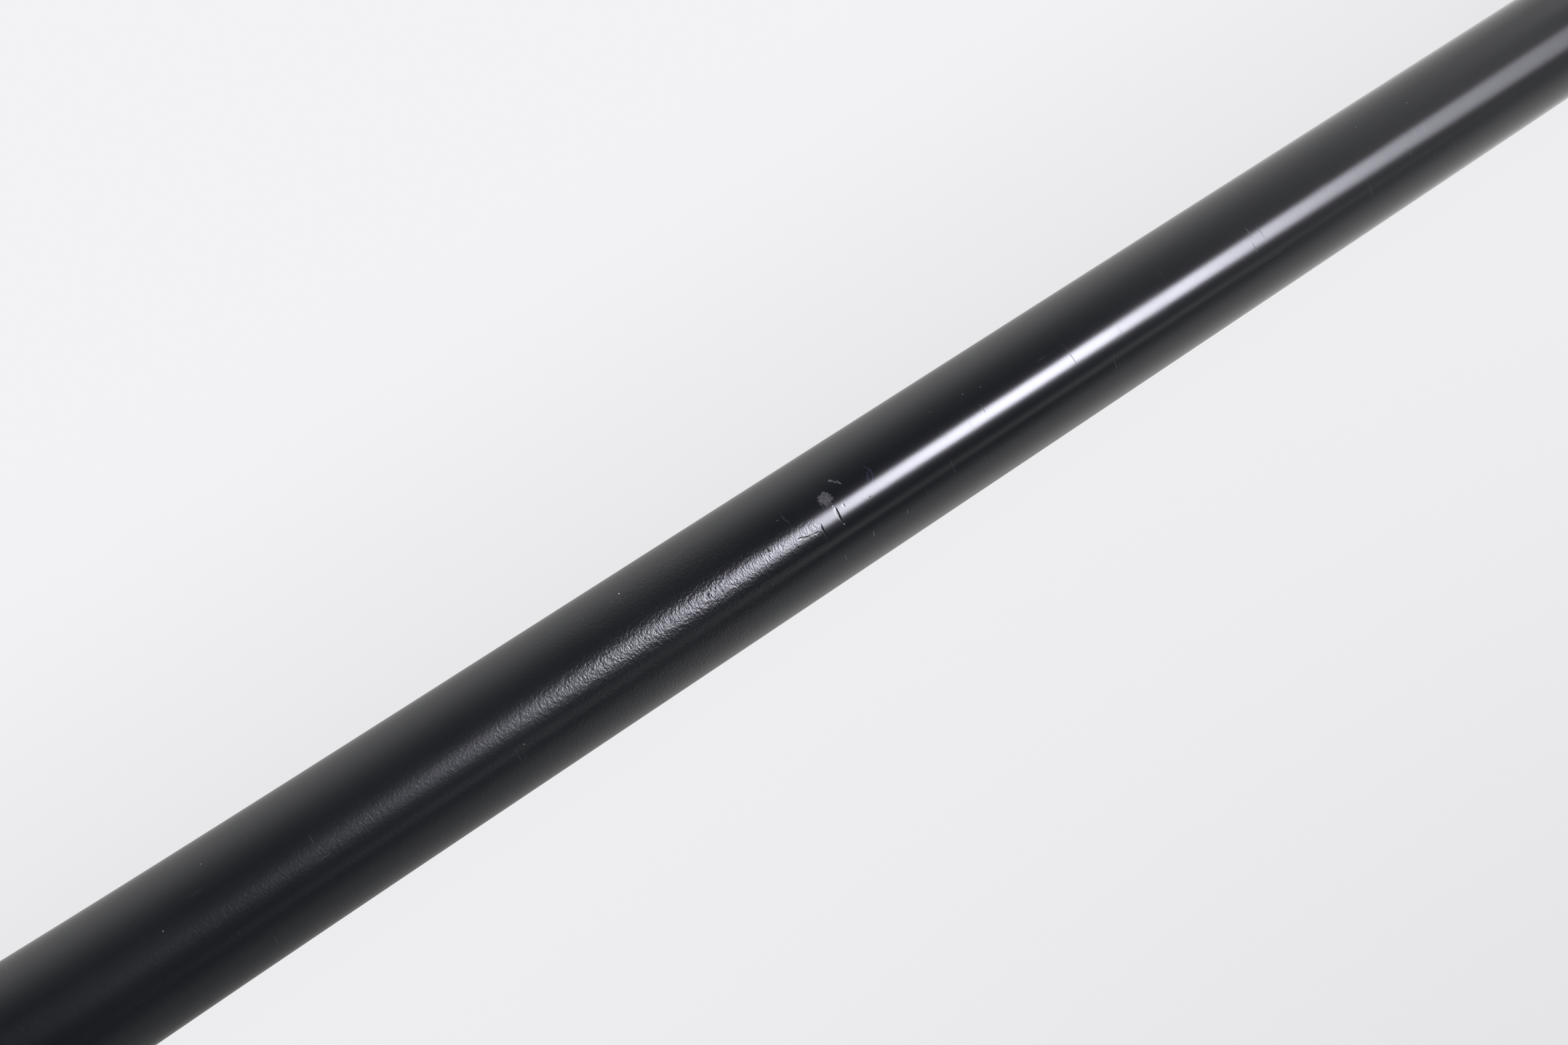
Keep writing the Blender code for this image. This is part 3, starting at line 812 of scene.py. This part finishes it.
def grained_material(name, dark, light, scale, roughness, depth, factors=(1.0, 1.0, 1.0), metallic=0.0):
    """A plain mottled material for the pieces that other pieces cover."""
    material, n, shader = new_material(name)
    place = n.stretch(object_place(n), factors)
    cloud = n.noise(place, scale * 0.1, 3.0)
    grain = n.noise(place, scale, 5.0, 0.65)
    colour = n.tint(n.math("MULTIPLY_ADD", grain, 0.6, n.math("MULTIPLY", cloud, 0.4)), dark, light)
    rough = n.math("MULTIPLY_ADD", n.math("SUBTRACT", grain, 0.5), 0.25, roughness)
    normal = n.bump(grain, depth)
    finish_shader(n, shader, colour, rough, normal)
    shader.inputs["Metallic"].default_value = metallic
    return material


# ----------------------------------------
# Turned surfaces. An outline is a list of (radius, station), run so that the piece's material
# lies on its left: from the knob to the barrel along the outside, and back along the inside.
# ----------------------------------------
def local_point(radius, angle, station):
    return (radius * math.cos(angle), -radius * math.sin(angle), station)


def link_piece(name, mesh, material, replaced):
    mesh.materials.append(material)
    mesh.transform(BAT_FRAME)
    piece = bpy.data.objects.new(name, mesh)
    bpy.context.scene.collection.objects.link(piece)
    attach(piece, BODY)
    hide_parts(replaced)


def even_angles(count):
    return [TURN * k / count for k in range(count)]


def arc(centre_radius, centre_station, radius, first, last, steps):
    """Points of a circle in the outline's plane; 0 degrees points outwards, 90 to the barrel."""
    points = []
    for angle in spread(first * DEGREE, last * DEGREE, steps):
        points.append((centre_radius + radius * math.cos(angle), centre_station + radius * math.sin(angle)))
    return points


def eased(corners, steps=4):
    """An outline whose corners are rounded; each corner is (radius, station, rounding)."""
    outline = []
    for i, (radius, station, rounding) in enumerate(corners):
        here = Vector((radius, station))
        if rounding == 0.0:
            outline.append((radius, station))
            continue
        ends = []
        for other in (corners[i - 1], corners[(i + 1) % len(corners)]):
            away = Vector(other[:2]) - here
            ends.append(here + away.normalized() * min(rounding, 0.45 * away.length))
        for t in spread(0.0, 1.0, steps):
            point = ends[0] * (1 - t) ** 2 + here * (2 * t * (1 - t)) + ends[1] * t ** 2
            outline.append((point.x, point.y))
    return outline


def turned_mesh(name, outline, angles, shape=None, crease=40.0):
    """Turn an outline round the axis. An outline that starts and ends on the axis is a solid;
    any other outline is closed into a ring. shape(radius, angle, station) may move the radius."""
    solid = outline[0][0] == 0.0
    points = []
    rings = []
    for radius, station in outline:
        if radius == 0.0:
            rings.append([len(points)] * len(angles))
            points.append((0.0, 0.0, station))
            continue
        rings.append(list(range(len(points), len(points) + len(angles))))
        for angle in angles:
            there = shape(radius, angle, station) if shape else radius
            points.append(local_point(there, angle, station))
    faces = []
    pairs = list(zip(rings, rings[1:]))
    if not solid:
        pairs.append((rings[-1], rings[0]))
    for first, second in pairs:
        for k in range(len(angles)):
            m = (k + 1) % len(angles)
            corners = (first[k], second[k], second[m], first[m])
            faces.append(tuple(dict.fromkeys(corners)))
    mesh = bpy.data.meshes.new(name)
    mesh.from_pydata(points, [], faces)
    mesh.shade_smooth()
    mesh.set_sharp_from_angle(angle=crease * DEGREE)
    return mesh


def scaled(outline):
    """Millimetres to metres, and inside the CAD solid's facets."""
    return [(INSIDE * radius * MM, station * MM) for radius, station in outline]


# Stretches of the shell with closer rings: from, to, spacing in mm.
FINE_STRETCHES = (
    (2.7, 450.0, 12.0),
    (450.0, 482.0, 1.5),
    (464.5, 472.0, 0.35),
    (465.2, 466.0, 0.10),
    (466.6, 468.0, 0.06),
    (470.4, 471.6, 0.08),
    (482.0, 700.0, 5.0),
    (700.0, 926.4, 3.0),
)


def shell_stations():
    stations = [SHELL_START / MM]
    end = SHELL_END / MM - 0.5
    while stations[-1] < end:
        here = stations[-1]
        step = min(spacing for low, high, spacing in FINE_STRETCHES if low <= here < high)
        limit = min([low for low, _, _ in FINE_STRETCHES if here < low] + [end])
        stations.append(min(here + step, limit))
    return stations


def shell_angles():
    """Close columns on the side that the marks are on, wider ones elsewhere."""
    close = spread(8.0, 46.0, 38)
    wide = spread(46.0, 368.0, 78)
    return [degrees * DEGREE for degrees in close + wide[1:-1]]


def make_shell(material):
    stations = shell_stations()
    outside = [(shell_radius(s * MM), s * MM) for s in stations]
    outside.append((outside[-1][0] - INSIDE * 0.5 * MM, SHELL_END))
    inner = spread(TAPER_START, TAPER_END, 24)
    inner = [SHELL_START] + inner + [SHELL_END]
    inside = [(shell_radius(s) - INSIDE * WALL, s) for s in reversed(inner)]
    mesh = turned_mesh("shell_body", outside + inside, shell_angles(), worn_shell)
    link_piece("shell_body", mesh, material, "bat_shell")


def make_knob(material):
    lower = arc(21.0, 3.0, 3.0, -90.0, 0.0, 12)
    upper = arc(21.5, 7.0, 2.5, 0.0, 65.0, 9)
    start, end = upper[-1], (12.6, 20.0)
    reach = (start[0] - end[0]) / math.sin(65.0 * DEGREE)
    corner = (end[0], start[1] + reach * math.cos(65.0 * DEGREE))
    sweep = []
    for t in spread(0.0, 1.0, 22)[1:]:
        weights = ((1 - t) ** 2, 2 * t * (1 - t), t * t)
        pairs = list(zip(weights, (start, corner, end)))
        sweep.append(tuple(sum(w * p[i] for w, p in pairs) for i in (0, 1)))
    bore = [(11.4, 20.0), (11.4, 2.4), (14.6, 2.4)]
    mouth = arc(15.0, 0.4, 0.4, 180.0, 270.0, 4)
    mesh = turned_mesh("knob_body", scaled(lower + upper + sweep + bore + mouth), even_angles(144))
    link_piece("knob_body", mesh, material, "knob")


def make_knob_plug(material):
    corners = [
        (1.5, 0.75, 0.3), (2.1, 0.45, 0.3), (6.6, 0.38, 0.2),
        (6.9, 0.66, 0.2), (7.5, 0.66, 0.2), (7.8, 0.36, 0.2),
        (11.6, 0.32, 0.2), (11.9, 0.62, 0.2), (12.6, 0.62, 0.2), (12.9, 0.3, 0.2), (14.3, 0.3, 0.45),
        (14.3, 2.1, 0.2), (8.4, 2.1, 0.2), (8.4, 15.1, 0.3), (7.4, 16.1, 0.3),
    ]
    outline = [(0.0, 0.78)] + eased(corners)[1:] + [(0.0, 16.1)]
    mesh = turned_mesh("knob_plug_disc", scaled(outline), even_angles(96))
    link_piece("knob_plug_disc", mesh, material, "knob_plug")


def make_end_cap(material):
    pocket = [(0.0, 934.0), (22.4, 934.0), (22.4, 903.5), (24.6, 903.5), (26.0, 905.0), (26.0, 907.2)]
    neck = [(24.6, 907.2), (24.6, 926.7), (27.9, 926.7), (28.25, 926.8), (28.4, 927.1)]
    line = [(28.33, 931.9), (28.4, 932.05), (28.4, 932.25), (28.33, 932.4), (28.4, 933.0)]
    edge = arc(23.2, 934.6, 5.2, 0.0, 90.0, 18)
    corners = [
        (23.2, 939.8, 0.0), (20.6, 939.8, 0.25), (20.3, 939.5, 0.2), (19.4, 939.5, 0.2), (19.1, 939.8, 0.25),
        (15.5, 939.8, 0.7), (13.4, 938.0, 0.7), (10.3, 938.0, 0.2), (10.0, 938.3, 0.2), (9.2, 938.3, 0.2),
        (8.9, 938.0, 0.2), (5.3, 938.0, 0.2), (5.0, 938.25, 0.2), (4.2, 938.25, 0.2), (3.9, 938.0, 0.2),
        (1.3, 938.0, 0.3), (0.9, 937.7, 0.2),
    ]
    face = eased(corners)[1:]
    outline = pocket + neck + line + edge + face + [(0.0, 937.7)]
    mesh = turned_mesh("end_cap_body", scaled(outline), even_angles(144))
    link_piece("end_cap_body", mesh, material, "end_cap")


# ----------------------------------------
# Grip: a strip wound from the knob towards the barrel, each turn lapping over the last
# ----------------------------------------
PITCH = 21.0
WRAP_START = 18.5
WRAP_END = 238.3
WRAP_LOW_RADIUS = 13.7
WRAP_HIGH_RADIUS = 14.9
WRAP_NECK_BORE = 13.05
WRAP_NECK_END = 23.9
WRAP_BORE = 12.1
WRAP_COLUMNS = 96
# One turn across the strip: share of the pitch from the lapping edge, drop below the crest.
STRIP = ((0.0, 0.66), (0.006, 0.30), (0.018, 0.12), (0.045, 0.03), (0.085, 0.0), (0.13, 0.05),
         (0.18, 0.19), (0.24, 0.37), (0.31, 0.50), (0.40, 0.57), (0.52, 0.60), (0.66, 0.61),
         (0.80, 0.62), (0.92, 0.64), (0.985, 0.66))


def wrap_radius(station):
    rise = 1.0 - smoothstep(42.0, 56.0, station)
    return WRAP_LOW_RADIUS + (WRAP_HIGH_RADIUS - WRAP_LOW_RADIUS) * rise - 0.03


def make_grip(material):
    """The winding's outer side, closed by a plain inner side that both its ends meet."""
    turns = int((WRAP_END - WRAP_START) / PITCH) + 3
    rows = [(turn, share, drop) for turn in range(-2, turns) for share, drop in STRIP]
    count = WRAP_COLUMNS
    bore = ((WRAP_BORE, WRAP_END), (WRAP_BORE, WRAP_NECK_END),
            (WRAP_NECK_BORE, WRAP_NECK_END), (WRAP_NECK_BORE, WRAP_START))
    points = [local_point(INSIDE * radius * MM, angle, station * MM)
              for radius, station in bore for angle in even_angles(count)]
    inner = [[ring * count + k for k in range(count)] for ring in range(len(bore))]
    grid = []
    for turn, share, drop in rows:
        line = []
        for k in range(count):
            winding = turn + k / count
            drift = noise.noise(Vector((winding * 5.3, 1.7, 0.4))) * 0.5
            edge = WRAP_START + PITCH * winding + drift
            station = edge + PITCH * share
            swell = noise.noise(Vector((winding * 9.0, share * 3.0, 7.7))) * 0.05
            if station < WRAP_START:
                line.append(inner[-1][k])
            elif station > WRAP_END:
                line.append(inner[0][k])
            else:
                radius = wrap_radius(station) - drop - abs(swell)
                line.append(len(points))
                points.append(local_point(INSIDE * radius * MM, TURN * k / count, station * MM))
        grid.append(line)
    faces = []
    strips = []
    per_turn = len(STRIP)
    across = [share * PITCH * MM for share, _ in STRIP] + [PITCH * MM]
    around = TURN * INSIDE * WRAP_LOW_RADIUS * MM
    for i in range(len(rows) - 1 - per_turn):
        turn = rows[i][0]
        low, high = across[i % per_turn], across[i % per_turn + 1]
        for k in range(count):
            after, m = (i + per_turn, 0) if k + 1 == count else (i, k + 1)
            first, last = (turn + k / count) * around, (turn + (k + 1) / count) * around
            corners = {grid[i][k]: (first, low), grid[i + 1][k]: (first, high),
                       grid[after + 1][m]: (last, high), grid[after][m]: (last, low)}
            if len(corners) > 2:
                faces.append(tuple(corners))
                strips.extend(corners.values())
    for first, second in zip(inner, inner[1:]):
        for k in range(count):
            m = (k + 1) % count
            faces.append((first[k], second[k], second[m], first[m]))
            strips.extend([(0.0, 0.0)] * 4)
    mesh = bpy.data.meshes.new("grip_strip")
    mesh.from_pydata(points, [], faces)
    layer = mesh.uv_layers.new(name="strip")
    for entry, place in zip(layer.data, strips):
        entry.uv = place
    mesh.shade_smooth()
    mesh.set_sharp_from_angle(angle=60.0 * DEGREE)
    link_piece("grip_strip", mesh, material, "grip_wrap")


# Finishing tape, pulled down from the wrap on to the tube.
TAPE_LAYER = 0.13


def tape_shape(radius, angle, station):
    """Pleats where the tape comes down off the wrap, and the steps of its layers."""
    place = station / MM
    if radius < INSIDE * 11.65 * MM or (place < 238.7 and radius < INSIDE * 14.1 * MM):
        return radius
    pull = math.exp(-((place - 241.0) / 1.9) ** 2)
    wander = noise.noise(Vector((math.cos(angle), math.sin(angle), 0.3)))
    pleat = 0.5 + 0.5 * math.sin(17.0 * angle + 2.2 * wander)
    depth = 0.30 * pull * pleat ** 2
    share = angle / TURN
    # The outer layer's two edges run slightly askew, each a step down.
    upper, lower = 246.2 + 2.6 * share, 234.6 + 2.6 * share
    depth += TAPE_LAYER * smoothstep(upper, upper + 0.25, place)
    depth += TAPE_LAYER * smoothstep(lower, lower - 0.25, place)
    depth += 0.03 * (1.0 + noise.noise(Vector((3.0 * math.cos(angle), 3.0 * math.sin(angle), 0.3 * place))))
    return radius - min(depth, 0.34) * MM


def make_finish_tape(material):
    outer = [(14.25, 231.0), (14.4, 231.1)]
    outer += [(14.4, s) for s in spread(231.4, 237.6, 20)]
    shoulder = [(14.4, 237.6, 0.0), (14.4, 238.6, 1.0), (12.04, 243.1, 2.2), (11.8, 250.0, 0.0)]
    outer += eased(shoulder, 7)[1:-1]
    tail = [(12.0 - 0.2 * (s - 244.6) / 5.4, s) for s in spread(244.6, 249.9, 16)]
    outer = outer + tail + [(11.66, 250.0)]
    inner = [(11.4, 250.0), (11.4, 238.6), (14.0, 238.6), (14.0, 231.0)]
    mesh = turned_mesh("finish_tape", scaled(outer + inner), even_angles(160), tape_shape, 50.0)
    link_piece("finish_tape", mesh, material, "grip_finish_tape")


def dress(node, material):
    """Give a CAD node that stays its procedural material."""
    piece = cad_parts[node]
    if not piece.material_slots:
        piece.data.materials.append(material)
    for entry in piece.material_slots:
        entry.material = material


make_camera()
make_world()
make_floor()
make_shell(coat_material())
make_knob(knob_material())
polymer = polymer_material()
make_knob_plug(polymer)
make_end_cap(polymer)
make_grip(leather_material())
make_finish_tape(vinyl_material())
dress("knob_weld", grained_material("weld_bead_alloy", (0.45, 0.45, 0.46), (0.70, 0.70, 0.71), 900.0,
                                    0.42, 0.05 * MM, (1.0, 1.0, 3.0), 1.0))
dress("grip_base_tape", grained_material("base_tape_cloth", (0.40, 0.36, 0.28), (0.66, 0.61, 0.50), 1500.0,
                                         0.85, 0.05 * MM, (2.0, 1.0, 1.0)))
foam = grained_material("grey_foam_cells", (0.10, 0.10, 0.11), (0.26, 0.26, 0.27), 1100.0, 0.9, 0.3 * MM)
dress("handle_damper", foam)
dress("throat_plug", foam)
dress("cap_adhesive", grained_material("amber_adhesive_bead", (0.30, 0.16, 0.03), (0.55, 0.33, 0.10), 400.0,
                                       0.32, 0.1 * MM))

scene = bpy.context.scene
scene.view_settings.view_transform = "Standard"
scene.view_settings.look = "None"
